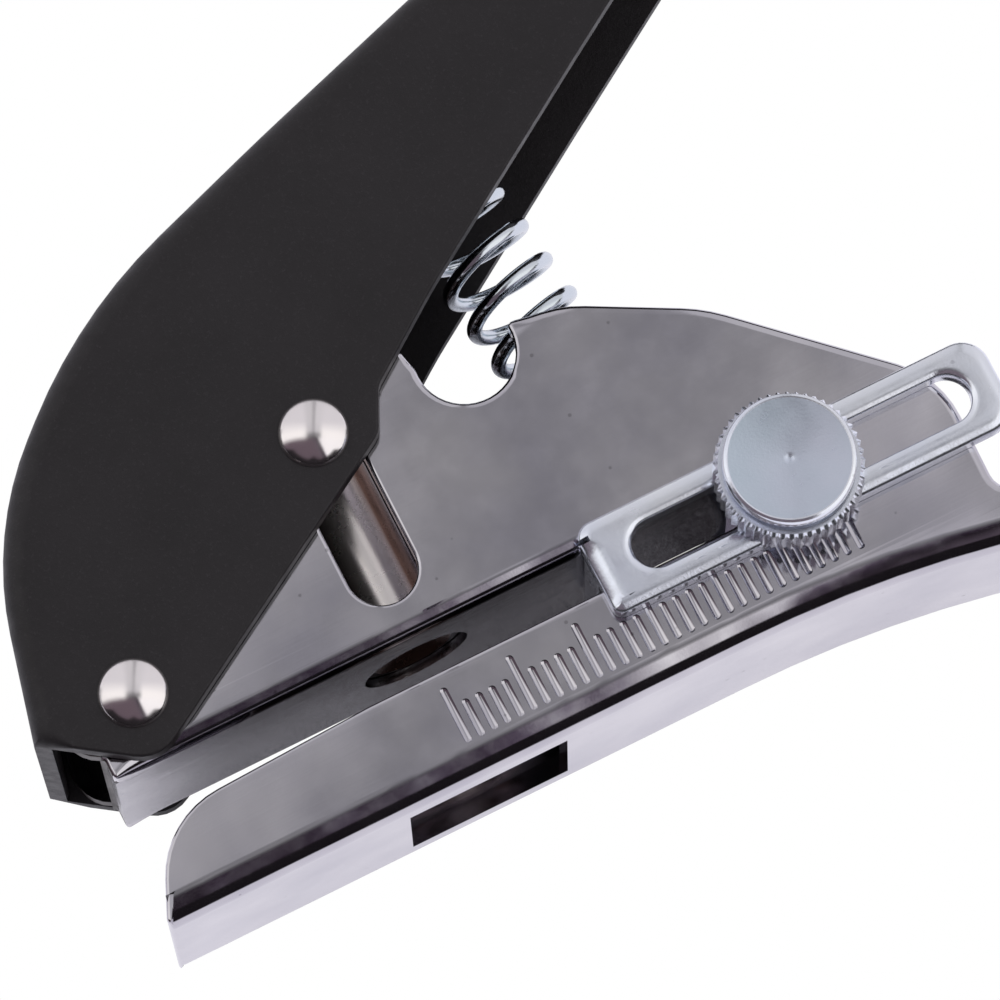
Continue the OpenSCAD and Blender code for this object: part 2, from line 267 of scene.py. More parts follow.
chrome = metal("chrome_plate", (0.52, 0.505, 0.56), (0.70, 0.68, 0.71), (0.05, 0.12),
               wave_mm=0.16, grain=0.02, speck=0.35, scratch=0.02, stretch=(0.05, 1.4, 1.4))
jaw_chrome = metal("brushed_chrome", (0.52, 0.51, 0.54), (0.62, 0.61, 0.64), (0.10, 0.20),
                   wave_mm=0.05, grain=0.05, scratch=0.35, stretch=(0.06, 1.6, 1.6))
nickel = metal("polished_nickel", (0.90, 0.85, 0.85), (0.95, 0.90, 0.90), (0.13, 0.20), grain=0.10)
zinc = metal("zinc_plate", (0.84, 0.88, 1.0), (0.93, 0.95, 1.0), (0.13, 0.28), wave_mm=0.08,
             grain=0.28, speck=0.25, metallic=0.93)
zinc_disc = metal("dull_zinc", (0.60, 0.70, 0.79), (0.74, 0.78, 0.90), (0.26, 0.40),
                  wave_mm=0.07, grain=0.45)
wire = metal("zinc_wire", (0.68, 0.75, 0.80), (0.76, 0.80, 0.85), (0.10, 0.20), grain=0.10)
# tool_steel's rim is a painted shade, dark brown along the punch rod's sides
tool_steel = metal("tool_steel", (0.98, 0.90, 0.87), (1.0, 0.95, 0.92), (0.24, 0.30),
                   grain=0.03, rim=(0.16, 0.09, 0.07), metallic=0.88)
# A blackened finish, made very dark also as painted shade for parts seen deep inside the jaws
plain_steel = metal("blackened_and_painted_shade_steel", (0.022, 0.017, 0.016), (0.040, 0.030, 0.028), (0.30, 0.45),
                    grain=0.25, scratch=0.2, stretch=(0.1, 1.5, 1.5))
black_coat = powder_coat("black_powder_coat")


# Mesh helpers -------------------------------------------------------------------

# Points closer than this, in metres, are one point
WELD = 2e-6
# A profile point with a radius under this, in mm, is on the axis
ON_AXIS = 1e-6


def circle(count):
    """Cosine and sine of count angles evenly spread round a circle."""
    return [(math.cos(TAU * k / count), math.sin(TAU * k / count)) for k in range(count)]


def add_object(name, mesh, material):
    piece = bpy.data.objects.new(name, mesh)
    bpy.context.scene.collection.objects.link(piece)
    mesh.materials.clear()
    mesh.materials.append(material)
    return piece


def piece_from(bm, name, material):
    """A piece made from bm, which is freed."""
    bmesh.ops.recalc_face_normals(bm, faces=bm.faces)
    mesh = bpy.data.meshes.new(name)
    bm.to_mesh(mesh)
    bm.free()
    return add_object(name, mesh, material)


def bridge(bm, rings):
    """Quads between each ring of points and the next one, which has as many points."""
    for low, high in zip(rings, rings[1:]):
        for k in range(len(low)):
            n = (k + 1) % len(low)
            bm.faces.new((low[k], low[n], high[n], high[k]))


def finish_shading(piece, sharp_deg=32):
    """Smooth faces with sharp edges past an angle, and normals that keep flat faces flat."""
    mesh = piece.data
    bm = bmesh.new()
    bm.from_mesh(mesh)
    bmesh.ops.remove_doubles(bm, verts=bm.verts, dist=WELD)
    bmesh.ops.dissolve_degenerate(bm, edges=bm.edges, dist=WELD)
    limit = math.radians(sharp_deg)
    for face in bm.faces:
        face.smooth = True
    for edge in bm.edges:
        edge.smooth = len(edge.link_faces) == 2 and edge.calc_face_angle(0) < limit
    bm.to_mesh(mesh)
    bm.free()
    weigh = piece.modifiers.new("flat faces", "WEIGHTED_NORMAL")
    weigh.keep_sharp = True
    weigh.weight = 80
    return piece


def boolean(piece, cutter, operation):
    """piece after a boolean with cutter, which is removed."""
    step = piece.modifiers.new("cut", "BOOLEAN")
    step.operation = operation
    step.solver = "EXACT"
    step.object = cutter
    graph = bpy.context.evaluated_depsgraph_get()
    mesh = bpy.data.meshes.new_from_object(piece.evaluated_get(graph))
    piece.modifiers.clear()
    piece.data = mesh
    bpy.data.objects.remove(cutter)
    return piece


def lathe(name, profile, at, axis, material, steps=96, closed=False):
    """A turned piece. profile is a list of (radius, height) in mm along axis from at."""
    along = Vector(axis).normalized()
    side = along.orthogonal().normalized()
    other = along.cross(side)
    bm = bmesh.new()
    rings = []
    for radius, height in profile:
        centre = Vector(at) + along * height * MM
        if radius < ON_AXIS:
            rings.append([bm.verts.new(centre)])
            continue
        rings.append([bm.verts.new(centre + (side * c + other * s) * radius * MM)
                      for c, s in circle(steps)])
    pairs = list(zip(rings, rings[1:])) + ([(rings[-1], rings[0])] if closed else [])
    for low, high in pairs:
        for k in range(steps):
            n = (k + 1) % steps
            ends = (low[k % len(low)], low[n % len(low)], high[n % len(high)], high[k % len(high)])
            unique = list(dict.fromkeys(ends))
            if len(unique) > 2:
                bm.faces.new(unique)
    return finish_shading(piece_from(bm, name, material))


def arc(centre, radius, start, end, steps):
    """Profile points of an arc in (radius, height), angles in degrees."""
    return [(centre[0] + radius * math.cos(math.radians(start + (end - start) * i / steps)),
             centre[1] + radius * math.sin(math.radians(start + (end - start) * i / steps)))
            for i in range(steps + 1)]


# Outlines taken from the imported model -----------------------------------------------

def face_loops(node, height):
    """Closed outlines, in mm, of the flat faces of a CAD node at Z = height, the largest first."""
    mesh = frame["nodes"][node].data

    def key(v):
        return round(v.co.x / MM, 3), round(v.co.y / MM, 3)

    following = {}
    count = {}
    for polygon in mesh.polygons:
        corners = [mesh.vertices[i] for i in polygon.vertices]
        if all(abs(v.co.z - height) < WELD for v in corners):
            ring = [key(v) for v in corners]
            for a, b in zip(ring, ring[1:] + ring[:1]):
                count[frozenset((a, b))] = count.get(frozenset((a, b)), 0) + 1
                following.setdefault(a, []).append(b)
    border = {}
    for a, ends in following.items():
        for b in ends:
            if a != b and count[frozenset((a, b))] == 1:
                border[a] = b
    loops = []
    while border:
        start = next(iter(border))
        loop, at = [], start
        while at in border:
            loop.append(Vector(at))
            at = border.pop(at)
        if len(loop) > 2:
            loops.append(loop)
    loops = [loop if area(loop) > 0 else loop[::-1] for loop in loops]
    return sorted(loops, key=area, reverse=True)


def area(loop):
    return sum(a.x * b.y - b.x * a.y for a, b in zip(loop, loop[1:] + loop[:1])) / 2


def refined(loop, step):
    """The loop with its long sides divided into pieces of at most step."""
    points = []
    for a, b in zip(loop, loop[1:] + loop[:1]):
        n = max(1, math.ceil((b - a).length / step))
        points += [a.lerp(b, i / n) for i in range(n)]
    return points


def outward(loop):
    """Mitred outward normals of a loop that runs anticlockwise, one for each point."""
    normals = []
    n = len(loop)
    for i in range(n):
        a = (loop[i] - loop[i - 1]).normalized()
        b = (loop[(i + 1) % n] - loop[i]).normalized()
        left, right = Vector((a.y, -a.x)), Vector((b.y, -b.x))
        middle = left + right
        if middle.length < 1e-6:
            middle = left
        middle.normalize()
        normals.append(middle / max(0.5, middle.dot(left)))
    return normals


def graded(loop, rule, slope=0.5):
    """Rim radius for each point of a loop: rule(point, outward normal), made smaller where it would
    grow faster than slope along the loop."""
    sizes = [rule(p, n) for p, n in zip(loop, outward(loop))]
    for _ in range(2):
        for order in (range(len(loop)), range(len(loop) - 1, -1, -1)):
            before = None
            for i in order:
                j = i - 1 if before is None else before
                sizes[i] = min(sizes[i], sizes[j] + slope * (loop[i] - loop[j]).length)
                before = i
    return sizes


def rim_solid(name, loops, bottom, top, upper, lower=None, steps=8, material=None, rise=1.0):
    """A plate between two heights in mm with rounded rims. upper and lower give the rims' radii in
    plan for each loop, and rise their height as a share of those."""
    bm = bmesh.new()
    caps = {}
    levels = [math.pi / 2 * k / steps for k in range(steps + 1)]
    for index, loop in enumerate(loops):
        inwards = 1 if index else -1
        normals = outward(loop)
        rings = []
        for side, sizes, face in ((-1, (lower or upper)[index], bottom), (1, upper[index], top)):
            for angle in levels if side < 0 else levels[::-1]:
                ring = []
                for p, n, r in zip(loop, normals, sizes):
                    q = p + n * r * (1 - math.sin(angle)) * inwards
                    z = face - side * r * rise * (1 - math.cos(angle))
                    ring.append(bm.verts.new((q.x * MM, q.y * MM, z * MM)))
                rings.append(ring)
        caps.setdefault(-1, []).append(rings[0])
        caps.setdefault(1, []).append(rings[-1])
        bridge(bm, rings)
    for rings in caps.values():
        fill(bm, rings)
    return piece_from(bm, name, material or chrome)


def fill(bm, rings):
    """Triangles that close a flat face with its holes."""
    corners = [v for ring in rings for v in ring]
    flat = [[Vector((v.co.x / MM, v.co.y / MM, 0)) for v in ring] for ring in rings]
    for tri in tessellate_polygon(flat):
        bm.faces.new([corners[i] for i in tri])


def prism(name, points, low, high):
    """A straight extrusion along Z, in mm, used as a cutter."""
    bm = bmesh.new()
    rings = [[bm.verts.new((p[0] * MM, p[1] * MM, z * MM)) for p in points] for z in (low, high)]
    bridge(bm, rings)
    for ring in rings:
        fill(bm, [ring])
    return piece_from(bm, name, chrome)


def gap_to(loop, point):
    """Distance from point to the nearest side of the loop."""
    best = 1e9
    for a, b in zip(loop, loop[1:] + loop[:1]):
        side = b - a
        t = max(0.0, min(1.0, (point - a).dot(side) / max(side.length_squared, 1e-12)))
        best = min(best, (point - a - side * t).length)
    return best


# Outlines closer than this, in mm, run along the same edge
TOUCH = 0.03
# How far, in mm, a hollow's cutter runs out past the sheet's open edges
HOLLOW_REACH = 0.6


def hollow(inner, outer, depth):
    """Cutter for the space inside a folded sheet, which is open where its two outlines meet."""
    points = [p + n * HOLLOW_REACH if gap_to(outer, p) < TOUCH else p
              for p, n in zip(inner, outward(inner))]
    return prism("hollow", points, -depth, depth)


# Body shell -------------------------------------------------------------------------

# Rounding of the fold between side plates and floor, and how fast it grows from the nose
BODY_FOLD = 2.0
FOLD_GROWTH = 4.0
# Rounding under the upper jaw, along cut edges, round the hump, in its pocket and round holes
JAW_FOLD = 1.15
CUT_EDGE = 0.28
HUMP_EDGE = 0.68
POCKET_EDGE = 0.45
HOLE_EDGE = 0.28
# Left, right and lowest edge of the pocket in the hump, and how low the hump's edge goes
POCKET = (8.0, 15.4, 14.0)
HUMP_LOW = -7.0
# Holes smaller than this, in mm2, are left out, because the thumb screw covers them. Those round
# the front rivet, left of the X below it, stay
COVERED_HOLE = 12.0
EAR_HOLE_X = -15.0
# A normal whose part along an axis is beyond this faces that way
FACING = 0.7
# Longest side of the outline
BODY_STEP = 1.0
# Slug window: left, right, half width, and the heights that its cutter spans
WINDOW = (-5.7, 6.3, 5.0)
WINDOW_CUT = (-12, -4.5)
# The ears' cut edges round the front rivet, left of this X and above this Y, get painted shade: the
# very dark steel in place of chrome
SHADED_EARS = (-20.0, 3.6)
# Scale marks: spacing, number, lower end, upper ends of short and long ones, depth, half width
TICK_STEP = 1.0
TICK_COUNT = 31
TICK_FOOT = -5.05
TICK_TOPS = (-2.75, -1.4)
TICK_DEPTH = 0.13
TICK_HALF = 0.29


def capsules(name, lines, radius, z, sides=20, cap=5):
    """Round-ended rods along Y, one for each (x, y0, y1) line, all in one mesh, in mm."""
    bm = bmesh.new()
    for x, y0, y1 in lines:
        rings = []
        ends = ((-1, y0), (1, y1))
        for end, y in ends:
            angles = [math.pi / 2 * k / cap for k in range(1, cap + 1)]
            for angle in angles if end < 0 else angles[::-1]:
                r = radius * math.sin(angle)
                height = y + end * radius * math.cos(angle)
                rings.append([bm.verts.new(((x + r * c) * MM, height * MM, (z + r * s) * MM))
                              for c, s in circle(sides)])
        tips = [bm.verts.new((x * MM, (y + end * radius) * MM, z * MM)) for end, y in ends]
        bridge(bm, rings)
        for tip, ring in zip(tips, (rings[0], rings[-1])):
            for k in range(sides):
                bm.faces.new((tip, ring[k], ring[(k + 1) % sides]))
    return piece_from(bm, name, chrome)


def build_body():
    top = body_high.z
    wall = top - jaw_high.z
    loops = face_loops("body_shell", top)
    inner = face_loops("body_shell", jaw_high.z)[0]
    outer = refined(loops[0], BODY_STEP)
    holes = [loop for loop in loops[1:] if area(loop) > COVERED_HOLE or loop[0].x < EAR_HOLE_X]
    jaw_y = jaw_low.y / MM
    front = min(p.x for p in outer)
    pocket_left, pocket_right, pocket_low = POCKET

    def rule(p, n):
        if n.x < -FACING:
            return CUT_EDGE
        if gap_to(inner, p) > TOUCH * 2:
            return min(BODY_FOLD, CUT_EDGE + FOLD_GROWTH * (p.x - front))
        if abs(p.y - jaw_y) < 0.01 and n.y < -0.99:
            return JAW_FOLD
        if pocket_left < p.x < pocket_right and p.y > pocket_low:
            return POCKET_EDGE
        return HUMP_EDGE if p.x > pocket_right and p.y > HUMP_LOW else CUT_EDGE

    sizes = graded(outer, rule)
    # under the nose the fold grows at its own rate
    for k, (p, n) in enumerate(zip(outer, outward(outer))):
        if p.x < front + BODY_FOLD * 2 and n.y < -FACING and p.y < 0:
            sizes[k] = rule(p, n)
    radii = [sizes] + [[HOLE_EDGE] * len(loop) for loop in holes]
    half = top / MM
    piece = rim_solid("body_plates", [outer] + holes, -half, half, radii)
    boolean(piece, hollow(inner, loops[0], half - wall / MM), "DIFFERENCE")
    x0, x1, z = WINDOW
    y0, y1 = WINDOW_CUT
    boolean(piece, prism("window", [(x0, y0), (x1, y0), (x1, y1), (x0, y1)], -z, z), "DIFFERENCE")
    lines = [(k * TICK_STEP, TICK_FOOT, TICK_TOPS[k % 5 == 0]) for k in range(TICK_COUNT)]
    radius = (TICK_HALF ** 2 + TICK_DEPTH ** 2) / (2 * TICK_DEPTH)
    boolean(piece, capsules("ticks", lines, radius, half + radius - TICK_DEPTH), "DIFFERENCE")
    # painted shade: the ears' cut edges inside the lever's opening get the very dark steel, not chrome
    piece.data.materials.append(plain_steel)
    edge = len(piece.data.materials) - 1
    for polygon in piece.data.polygons:
        centre = polygon.center / MM
        in_shaded_ear = centre.x < SHADED_EARS[0] and centre.y > SHADED_EARS[1]
        if in_shaded_ear and abs(polygon.normal.z) < FACING:
            polygon.material_index = edge
    finish_shading(piece)
    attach(piece, "frame")
    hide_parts("body_shell")
    return piece


build_body()


# Lever ------------------------------------------------------------------------------

# Rounding of the lever's folds and of its cut edges
LEVER_FOLD = 1.7
LEVER_EDGE = 0.22
# Gap between each side plate and the lever
LEVER_GAP = 0.2
# Longest side of the outline
LEVER_STEP = 1.5


def build_lever():
    top = lever_high.z / MM
    inner_z = body_high.z / MM + LEVER_GAP
    loops = face_loops("lever_channel", lever_high.z)
    inner = face_loops("lever_channel", inner_z * MM)[0]
    outer = refined(loops[0], LEVER_STEP)

    def rule(p, n):
        return LEVER_FOLD if gap_to(inner, p) > TOUCH * 2 else LEVER_EDGE

    piece = rim_solid("lever_plates", [outer], -top, top, [graded(outer, rule)], material=black_coat)
    boolean(piece, hollow(inner, loops[0], inner_z), "DIFFERENCE")
    finish_shading(piece)
    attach(piece, "lever")
    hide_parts("lever_channel")
    return piece


build_lever()


# Rivets -----------------------------------------------------------------------------

RIVET_SHANK = 1.5
RIVET_RIM = 0.16


def build_rivet(node):
    """A rivet with a domed head on each side, each with a small bevelled rim."""
    low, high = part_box(node)
    centre = (low + high) / 2
    head = (high.x - low.x) / 2 / MM
    top = high.z / MM
    plate = lever_high.z / MM
    rise = top - plate - RIVET_RIM
    radius = (head ** 2 + rise ** 2) / (2 * rise)
    tilt = math.degrees(math.asin(head / radius))
    dome = arc((0, top - radius), radius, 90 - tilt, 90, 16)
    half = [(head - 0.10, plate), (head - 0.02, plate + 0.05)] + dome[1:]
    shank = [(RIVET_SHANK, -plate), (RIVET_SHANK, plate)]
    profile = [(r, -h) for r, h in half[::-1]] + shank + half
    piece = lathe(node + "_turned", profile, (centre.x, centre.y, 0), (0, 0, 1), nickel)
    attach(piece, "lever")
    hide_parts(node)


build_rivet("drive_rivet")
build_rivet("pivot_rivet")


# Punch and its fittings -----------------------------------------------------------------

UP = (0, 1, 0)
# Hollow in the rod's tip, the hole in it for the drive rivet, and the gaps in die and guide
TIP_HOLLOW = 0.8
PIN_HOLE = 1.55
DIE_CLEAR = 0.06
GUIDE_CLEAR = 0.05
# Radius of the guide's neck in the upper jaw, and the thickness that it goes through
GUIDE_NECK = 3.95
GUIDE_SEAT = 1.2
NUT_BORE = 1.53


def turned(node, profile, at, axis, material, body, finish, bore=None):
    """A turned piece that stands for a CAD node; bore is a cutter made first."""
    piece = lathe(node + "_turned", profile, at, axis, material, closed=profile[0][0] > 0)
    if bore:
        boolean(piece, bore, "DIFFERENCE")
        finish_shading(piece)
    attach(piece, body)
    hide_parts(node)
    return piece


def tube(inner, outer, low, high, edge=0.2):
    """Closed profile of a ring with small bevels outside."""
    return [(inner, low), (outer - edge, low), (outer, low + edge), (outer, high - edge),
            (outer - edge, high), (inner, high)]


def span(node, axis=1):
    """Both ends of a node along an axis, in mm."""
    low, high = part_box(node)
    return low[axis] / MM, high[axis] / MM


def build_punch():
    low, high = span("punch_rod")
    radius = (rod_high.x - rod_low.x) / 2 / MM
    bottom = low + TIP_HOLLOW
    profile = [(0, bottom), (radius - 1.5, bottom), (radius - 0.15, low), (radius, low + 0.12),
               (radius, high - 0.3), (radius - 0.3, high), (0, high)]
    through = [(0, -10), (PIN_HOLE, -10), (PIN_HOLE, 10), (0, 10)]
    pin_hole = lathe("pin_hole", through, drive_at, (0, 0, 1), tool_steel)
    turned("punch_rod", profile, (0, 0, 0), UP, tool_steel, "punch", "polished_steel", pin_hole)


def build_bushes():
    rod = (rod_high.x - rod_low.x) / 2 / MM
    # the punch guide's very dark steel is partly painted shade, so its hole in the jaw shows dark
    for node, bore, material, finish in (
            ("die_bush", rod + DIE_CLEAR, tool_steel, "polished_steel"),
            ("punch_guide", rod + GUIDE_CLEAR, plain_steel, "plain_steel")):
        low, high = span(node)
        left, right = span(node, 0)
        radius = (right - left) / 2
        profile = tube(bore, radius, low, high)
        if node == "punch_guide":
            neck, seat = GUIDE_NECK, jaw_low.y / MM + GUIDE_SEAT
            profile = [(bore, low), (neck - 0.2, low), (neck, low + 0.2), (neck, seat),
                       (radius, seat), (radius, high - 0.2), (radius - 0.2, high), (bore, high)]
        turned(node, profile, (0, 0, 0), UP, material, "frame", finish)


def build_nut():
    low, high = span("clinch_nut", 2)
    left, right = span("clinch_nut", 0)
    turned("clinch_nut", tube(NUT_BORE, (right - left) / 2, low, high, 0.15),
           (screw_at.x, screw_at.y, 0), (0, 0, 1), zinc_disc, "frame", "zinc_plate")


def plain_nodes():
    """CAD nodes shown as they are, with a finish and small bevels."""
    # the anvil bar and guide bridge, seen through the window, take the very dark steel, partly painted
    # shade
    for node, material, width in (
            ("jaw_floor", jaw_chrome, 0.12), ("anvil_bar", plain_steel, 0.1),
            ("guide_bridge", plain_steel, 0.2), ("lower_spring_peg", plain_steel, 0.2),
            ("upper_spring_peg", black_coat, 0.2)):
        shown = frame["nodes"][node]
        shown.data.materials.clear()
        shown.data.materials.append(material)
        bevel = shown.modifiers.new("edges", "BEVEL")
        bevel.width = width * MM
        bevel.segments = 3
        bevel.limit_method = "ANGLE"
        bevel.angle_limit = math.radians(40)
        bevel.harden_normals = False


build_punch()
build_bushes()
build_nut()
plain_nodes()


# Edge stop ------------------------------------------------------------------------------

BRACKET_T = 1.8
BRACKET_STEP = 0.6
# Rounding of the plate's rim and of its slot in plan, its height as a share of that, and the
# rounding on the underside
BRACKET_EDGE = 0.95
BRACKET_SLOT_EDGE = 0.6
BRACKET_RISE = 0.5
LOWER_EDGE = 0.2
# Rounding where the tab bends down, and where that starts
BRACKET_BEND = 1.5
BEND_LOW = -1.9
# Lower and upper side of the tab, the rounding of its corners and rims, and its inset at the top
TAB = (0.3, 2.9)
TAB_CORNER = 0.45
TAB_EDGE = 0.3
TAB_INSET = 1.1
# Relief notch over the tab: lower side, upper side and depth
RELIEF = (3.15, 3.55, 0.75)
# Knurled flange: teeth, their depth, points for each, chamfer, height and inner radius
KNURL_TEETH = 50
KNURL_DEPTH = 0.24
KNURL_SAMPLES = 6
KNURL_RIM = 0.34
KNURL_H = 3.5
KNURL_BORE = 1.4
# Thumb screw: radius of its shank, gap over the bracket, radius of its disc, depth of its groove
SCREW_SHANK = 1.5
SCREW_GAP = 0.05
DISC = 4.55
GROOVE = 0.4


def round_rectangle(points, steps=8):
    """Loop of a rectangle with round corners. points gives each corner as (x, y, radius),
    anticlockwise from the low left one."""
    loop = []
    for k, (x, y, radius) in enumerate(points):
        cx = x + radius * (1, -1, -1, 1)[k]
        cy = y + radius * (1, 1, -1, -1)[k]
        for n in range(steps + 1):
            angle = math.radians(180 + 90 * k + 90 * n / steps)
            loop.append(Vector((cx + radius * math.cos(angle), cy + radius * math.sin(angle))))
    return loop


def build_bracket():
    """A plate with wide soft edges and a tab bent over at its left end."""
    top = bracket_high.z / MM
    left, right = bracket_low.x / MM, bracket_high.x / MM
    low, high = bracket_low.y / MM, bracket_high.y / MM
    plan = [(left, low, 0.8), (right, low, 2.0), (right, high, 2.0), (left, high, 1.2)]
    outer = refined(round_rectangle(plan), BRACKET_STEP)
    slot = refined(max(face_loops("stop_bracket", bracket_high.z)[1:], key=area), BRACKET_STEP)
    tab_low, tab_high = TAB

    def rule(p, n):
        bends = p.x < left + 0.3 and BEND_LOW < p.y < tab_high + 0.2
        return BRACKET_BEND if bends else BRACKET_EDGE

    upper = [graded(outer, rule, 1.0), [BRACKET_SLOT_EDGE] * len(slot)]
    lower = [[LOWER_EDGE] * len(outer), [LOWER_EDGE] * len(slot)]
    plate = rim_solid("stop_bracket_plate", [outer, slot], top - BRACKET_T, top, upper, lower,
                      material=zinc, rise=BRACKET_RISE)
    sides = (left, left + BRACKET_T, left + BRACKET_T, left)
    ends = (tab_low, tab_low, tab_high, tab_high)
    rounded = round_rectangle([(x, y, TAB_CORNER) for x, y in zip(sides, ends)])
    tab = rim_solid("tab", [rounded], bracket_low.z / MM, top - TAB_INSET,
                    [[TAB_EDGE] * len(rounded)], material=zinc)
    boolean(plate, tab, "UNION")
    y0, y1, reach = RELIEF
    notch = [(left - 1, y0), (left + reach, y0), (left + reach, y1), (left - 1, y1)]
    boolean(plate, prism("relief", notch, top - 3, top + 1), "DIFFERENCE")
    finish_shading(plate, 38)
    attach(plate, "stop")
    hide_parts("stop_bracket")


def knurled_ring(name, at, radius, low, high, inner, material):
    """A ring with pointed teeth all round and chamfered rims."""
    bm = bmesh.new()
    way_round = circle(KNURL_TEETH * KNURL_SAMPLES)
    rings = []
    for z, inset in ((low, KNURL_RIM), (low + KNURL_RIM, 0), (high - KNURL_RIM, 0), (high, KNURL_RIM)):
        ring = []
        for k, (c, s) in enumerate(way_round):
            wave = abs((k % KNURL_SAMPLES) / KNURL_SAMPLES * 2 - 1)
            r = min(radius - KNURL_DEPTH * (1 - wave), radius - inset)
            ring.append(bm.verts.new((at.x + r * c * MM, at.y + r * s * MM, z * MM)))
        rings.append(ring)
    for z in (high, low):
        rings.append([bm.verts.new((at.x + inner * c * MM, at.y + inner * s * MM, z * MM))
                      for c, s in way_round])
    bridge(bm, rings + rings[:1])
    return finish_shading(piece_from(bm, name, material), 24)


def build_screw():
    """Thumb screw: shank, knurled flange, dark groove and a flat top disc with a small centre
    mark."""
    top = screw_high.z / MM
    base = bracket_high.z / MM + SCREW_GAP
    knurl_top = base + KNURL_H
    at = Vector((screw_at.x, screw_at.y, 0))
    radius = (screw_high.x - screw_low.x) / 2 / MM
    knurl = knurled_ring("thumb_screw_knurl", at, radius, base, knurl_top, KNURL_BORE, zinc)
    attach(knurl, "screw")
    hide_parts("thumb_screw")
    low = screw_low.z / MM
    neck = DISC - GROOVE
    profile = [(0, low), (SCREW_SHANK - 0.3, low), (SCREW_SHANK, low + 0.3),
               (SCREW_SHANK, knurl_top - 0.5), (neck, knurl_top - 0.5),
               (neck, knurl_top + 0.7), (DISC - 0.14, knurl_top + 0.7), (DISC, knurl_top + 0.84),
               (DISC, top - 0.24), (DISC - 0.07, top - 0.09), (DISC - 0.24, top),
               (DISC - 0.34, top - 0.02), (0.5, top - 0.02), (0.22, top - 0.05), (0, top - 0.14)]
    body = lathe("thumb_screw_disc", profile, at, (0, 0, 1), zinc_disc, steps=128)
    # all but the flat of the disc is as bright as the knurled flange
    body.data.materials.append(zinc)
    for polygon in body.data.polygons:
        centre = polygon.center
        out = math.hypot(centre.x - at.x, centre.y - at.y) / MM
        if out > DISC - 0.36 or centre.z / MM < top - 0.3:
            polygon.material_index = 1
    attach(body, "screw")


build_bracket()
build_screw()


# Return spring --------------------------------------------------------------------------

SPRING_TURNS = 13
# Angle at which the wire starts, and the spring's lean, in degrees
SPRING_START = 333.0
SPRING_LEAN = 8.0
# Outer radius of the spring, radius of its wire, and how much of that its two tips keep
SPRING_OUTER = 4.05
WIRE = 0.55
TIP_SHARE = 0.72
# Height of a closed turn, in wire diameters
CLOSED_TURN = 1.05
# X and Y of the spring's foot
SPRING_FOOT = (20.1, 4.75)
# Points along a turn and round the wire
TURN_STEPS = 44
WIRE_SIDES = 16
# Side offset, in mm, added to the way that the spring's top goes with the lever fully closed
SPRING_SHIFT = 0.3


def build_spring():
    """Coil spring with a closed turn at each end."""
    lean = math.radians(SPRING_LEAN)
    axis = Vector((-math.sin(lean), math.cos(lean), 0))
    side = Vector((math.cos(lean), math.sin(lean), 0))
    foot = Vector((*SPRING_FOOT, 0))
    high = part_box("return_spring")[1]
    length = (high.y / MM - foot.y - SPRING_OUTER * math.sin(lean)) / math.cos(lean)
    closed = 2 * WIRE * CLOSED_TURN
    pitch = (length - 2 * WIRE - 2 * closed) / (SPRING_TURNS - 2)
    coil = SPRING_OUTER - WIRE

    def centre(turn):
        if turn < 1:
            rise = closed * turn
        elif turn > SPRING_TURNS - 1:
            rise = length - 2 * WIRE - closed * (SPRING_TURNS - turn)
        else:
            rise = closed + pitch * (turn - 1)
        angle = math.radians(SPRING_START) + TAU * turn
        return (foot + axis * (rise + WIRE) + side * coil * math.cos(angle)
                - Vector((0, 0, coil * math.sin(angle))))

    bm = bmesh.new()
    rings = []
    count = SPRING_TURNS * TURN_STEPS
    for i in range(count + 1):
        at = centre(i / TURN_STEPS)
        out = at - foot
        out = (out - axis * out.dot(axis)).normalized()
        size = WIRE * (TIP_SHARE if i in (0, count) else 1)
        rings.append([bm.verts.new((at + (out * c + axis * s) * size) * MM)
                      for c, s in circle(WIRE_SIDES)])
    bridge(bm, rings)
    bm.faces.new(rings[0])
    bm.faces.new(rings[-1])
    piece = finish_shading(piece_from(bm, "spring_coil", wire), 50)
    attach(piece, "frame")
    # where the spring's top goes with the lever fully closed
    joint = joint_named("lever_swing")
    swing = math.radians(joint["range_deg"][1])
    fall = joint_named("punch_slide")["range_m"][1]
    start = (foot + axis * length) * MM
    turn = Matrix.Rotation(-swing, 3, "Z")
    end = turn @ (start - drive_at) + drive_at + Vector((0, -fall, 0))
    way = start - end + Vector((SPRING_SHIFT * MM, 0, 0))
    way.z = 0
    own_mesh(piece)
    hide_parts("return_spring")


build_spring()


# Floor, backdrop and light -------------------------------------------------------------

WHITE = (1.0, 1.0, 1.0)
DARK = (0.012, 0.010, 0.012)
# The table in reflections: its colour, its end and how soft that is, in metres
TABLE = (0.86, 0.845, 0.92)
SHEET_END = -0.070
SHEET_BLUR = 0.012
# Its brightness in full shade and in the open, and how far it looks for shade, in metres
SHADE = (0.13, 0.53)
SHADE_REACH = 0.022
# Ceiling strip's strength, from the top of the picture (0) to its bottom (1)
STRIP = [(0.0, 0.42), (0.26, 0.42), (0.345, 0.40), (0.43, 0.40), (0.47, 0.24), (0.55, 0.10),
         (0.65, 0.03), (1.0, 0.02)]
# Colours of the lower panel, from its left to its right
LOWER_PANEL = [(0.0, (0.12, 0.09, 0.11)), (0.37, (0.10, 0.08, 0.10)),
               (0.67, (0.02, 0.015, 0.02)), (0.84, (0.05, 0.035, 0.055)),
               (0.91, (0.16, 0.12, 0.18)), (0.98, (1.0, 0.99, 1.0))]
# Half the strength of the ceiling strip from its left to its right
SPREAD = [(0.10, 0.72), (0.25, 0.60), (0.40, 0.39), (0.60, 0.42), (0.70, 0.58), (0.80, 0.78)]
# Where the parts of the studio begin and end, as parts of a unit direction across or down the
# picture: the strip's spread, the side panels, their fade, the lower panel and its fade
SPREAD_SPAN = (-0.10, 0.10)
SIDE_PANELS = (0.22, 0.36)
SIDE_FADE = (-0.50, -0.10)
LOWER_SPAN = (-0.15, 0.13)
LOWER_TILT = 0.517
LOWER_FADE = (0.05, 0.22)
